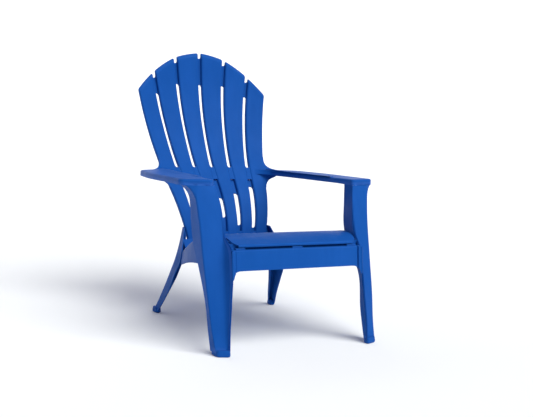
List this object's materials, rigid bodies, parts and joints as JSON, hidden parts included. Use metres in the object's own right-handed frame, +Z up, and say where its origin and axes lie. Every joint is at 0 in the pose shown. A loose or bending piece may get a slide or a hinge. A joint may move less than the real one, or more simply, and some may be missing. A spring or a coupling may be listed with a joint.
{
  "type": "adirondack chair",
  "caption": "One-piece moulded plastic lounge chair with a fanned, slatted back, wide arms, a slatted seat and four splayed legs.",
  "frame": {"origin": "on the ground, in the middle of the chair's outline seen from above", "axes": "+X to the chair's left-hand side as seen from the front (the viewer's right), -Y to the front, +Z up"},
  "size_m": [0.7154, 0.8814, 0.9491],
  "materials": {
    "moulding": "moulded blue plastic with a fine satin grain",
    "foot_pads": "the same blue plastic, lightly scuffed"
  },
  "bodies": {
    "root": {"back_slat_1": "moulding", "back_slat_2": "moulding", "back_slat_3": "moulding", "back_slat_4": "moulding", "back_slat_5": "moulding", "back_slat_6": "moulding", "back_top_webs": "moulding", "back_waist_webs": "moulding", "back_foot_webs": "foot_pads", "seat_slat_1": "moulding", "seat_slat_2": "moulding", "seat_slat_3": "moulding", "seat_slat_4": "moulding", "seat_slat_5": "moulding", "seat_rear_cove": "moulding", "seat_centre_rib": "moulding", "seat_rail_left": "moulding", "seat_rail_right": "moulding", "front_apron": "moulding", "apron_tabs": "moulding", "arm_left": "moulding", "arm_right": "moulding", "arm_root_left": "moulding", "arm_root_right": "moulding", "front_leg_left": "moulding", "front_leg_right": "moulding", "front_foot_left": "foot_pads", "front_foot_right": "foot_pads", "rear_leg_left": "moulding", "rear_leg_right": "moulding", "rear_foot_left": "foot_pads", "rear_foot_right": "foot_pads"}
  },
  "joints": []
}
